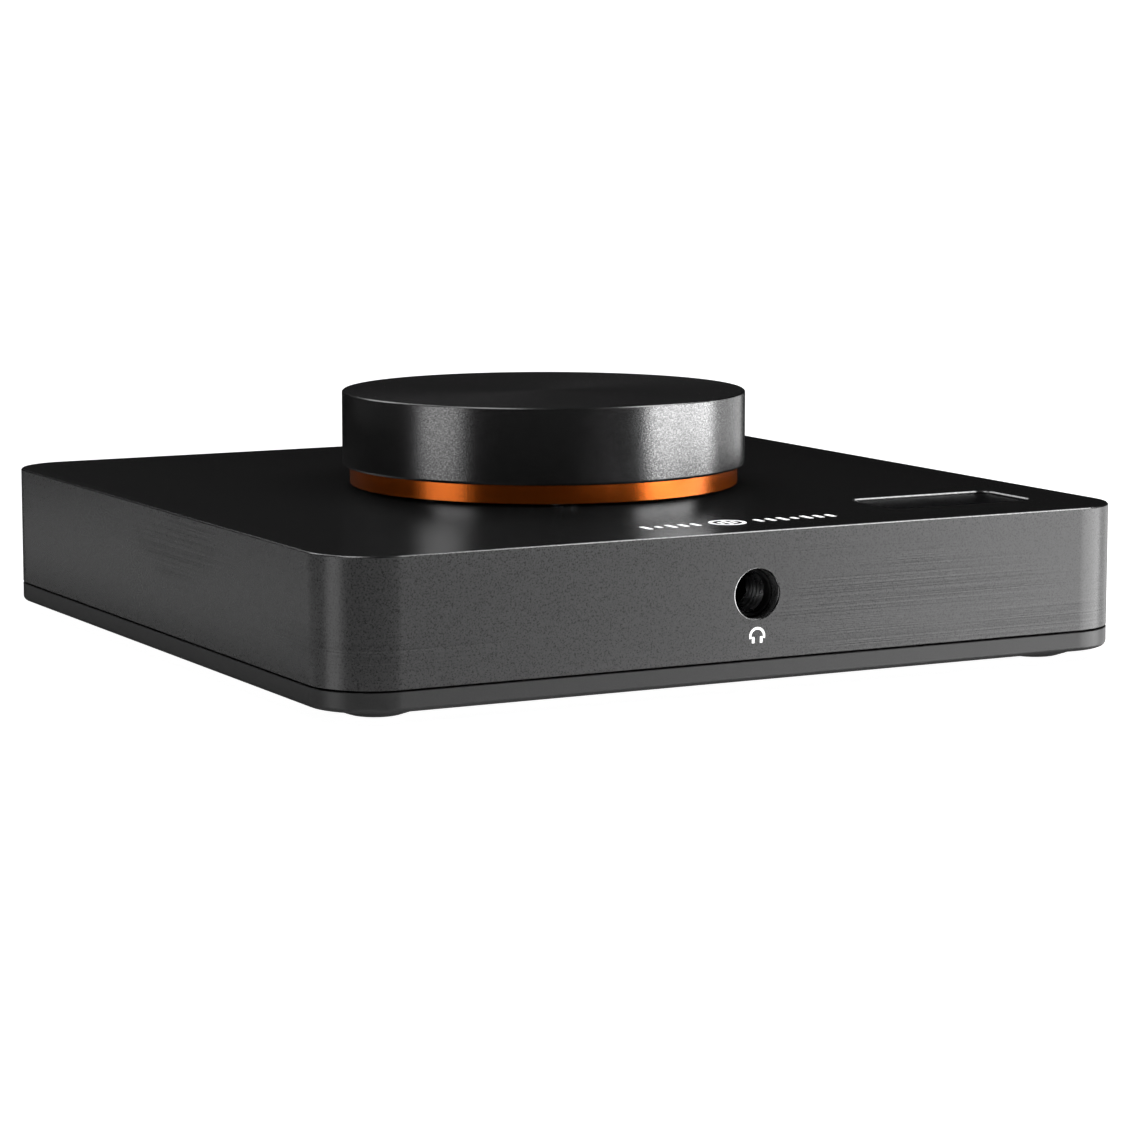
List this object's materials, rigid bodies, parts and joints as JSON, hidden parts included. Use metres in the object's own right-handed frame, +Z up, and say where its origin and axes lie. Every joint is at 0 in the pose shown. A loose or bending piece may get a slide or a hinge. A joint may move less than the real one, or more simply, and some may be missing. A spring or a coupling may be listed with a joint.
{
  "type": "desktop dac",
  "caption": "Low square desktop audio converter and headphone amplifier with a large round volume knob, orange ring, headphone socket, display window and rear sockets.",
  "frame": {"origin": "middle of the underside of the whole box, rear sockets included, on the plane that the feet stand on", "axes": "+X to the right seen from the front, +Y from the headphone socket to the rear sockets, +Z up"},
  "size_m": [0.155, 0.1634, 0.0451],
  "materials": {
    "case_metal": "black bead-blasted anodised, satin",
    "knob_metal": "black anodised, finely turned",
    "orange_metal": "orange anodised, finely turned",
    "foot_rubber": "matt black",
    "black_screw": "black oxide",
    "plated_steel": "nickel plated",
    "gold_plate": "gold plated",
    "white_plastic": "moulded",
    "red_plastic": "moulded",
    "smoked_window": "polished smoked plastic",
    "black_plastic": "moulded, fine texture",
    "circuit_board": "green solder mask",
    "chip_plastic": "moulded epoxy",
    "capacitor_can": "satin can"
  },
  "bodies": {
    "root": {"base_plate": "case_metal", "base_screw_front_left": "black_screw", "base_screw_front_right": "black_screw", "base_screw_rear_left": "black_screw", "base_screw_rear_right": "black_screw", "board_screw_front_left": "plated_steel", "board_screw_front_right": "plated_steel", "board_screw_rear_left": "plated_steel", "board_screw_rear_right": "plated_steel", "board_standoff_front_left": "gold_plate", "board_standoff_front_right": "gold_plate", "board_standoff_rear_left": "gold_plate", "board_standoff_rear_right": "gold_plate", "converter_chip": "chip_plastic", "dc_jack_housing": "black_plastic", "dc_jack_pin": "plated_steel", "display_board": "circuit_board", "display_header": "black_plastic", "display_module": "black_plastic", "display_window": "smoked_window", "encoder_board": "circuit_board", "encoder_header": "black_plastic", "encoder_housing": "plated_steel", "encoder_nut": "plated_steel", "encoder_washer": "plated_steel", "filter_capacitor_left": "capacitor_can", "filter_capacitor_right": "capacitor_can", "foot_front_left": "foot_rubber", "foot_front_right": "foot_rubber", "foot_rear_left": "foot_rubber", "foot_rear_right": "foot_rubber", "headphone_amplifier_left": "chip_plastic", "headphone_amplifier_right": "chip_plastic", "headphone_jack_housing": "black_plastic", "jack_ring_contact": "plated_steel", "jack_sleeve_contact": "plated_steel", "jack_tip_contact": "plated_steel", "line_out_contact_left": "gold_plate", "line_out_contact_right": "gold_plate", "line_out_housing": "black_plastic", "line_out_insulator_left": "white_plastic", "line_out_insulator_right": "red_plastic", "line_out_shell_left": "gold_plate", "line_out_shell_right": "gold_plate", "main_board": "circuit_board", "optical_socket_housing": "black_plastic", "output_relay": "chip_plastic", "power_switch_body": "black_plastic", "top_case": "case_metal", "usb_receiver_chip": "chip_plastic", "usb_socket_shell": "plated_steel", "usb_socket_tongue": "black_plastic", "voltage_regulator": "chip_plastic"},
    "knob_lift": {"encoder_plunger": "black_plastic"},
    "knob": {"volume_knob": "knob_metal", "accent_ring": "orange_metal", "knob_grub_screw": "black_screw", "encoder_shaft": "plated_steel"},
    "power_button": {"power_button_cap": "knob_metal"},
    "shutter": {"optical_shutter": "black_plastic"}
  },
  "joints": [
    {"name": "knob_press", "type": "slide", "parent": "root", "child": "knob_lift", "axis": [0, 0, -1], "range_m": [0, 0.0004], "stiffness_N_per_m": 6000, "springref_m": -0.0007},
    {"name": "knob_turn", "type": "hinge", "parent": "knob_lift", "child": "knob", "pos_m": [0, -0.00425, 0.03], "axis": [0, 0, 1], "continuous": true},
    {"name": "power_button_press", "type": "slide", "parent": "root", "child": "power_button", "axis": [0, -1, 0], "range_m": [0, 0.0018], "stiffness_N_per_m": 700, "springref_m": -0.001},
    {"name": "optical_shutter_swing", "type": "hinge", "parent": "root", "child": "shutter", "pos_m": [0.011, 0.06925, 0.0203], "axis": [-1, 0, 0], "range_deg": [0, 80], "stiffness_Nm_per_rad": 0.0002, "springref_deg": -20.05}
  ]
}
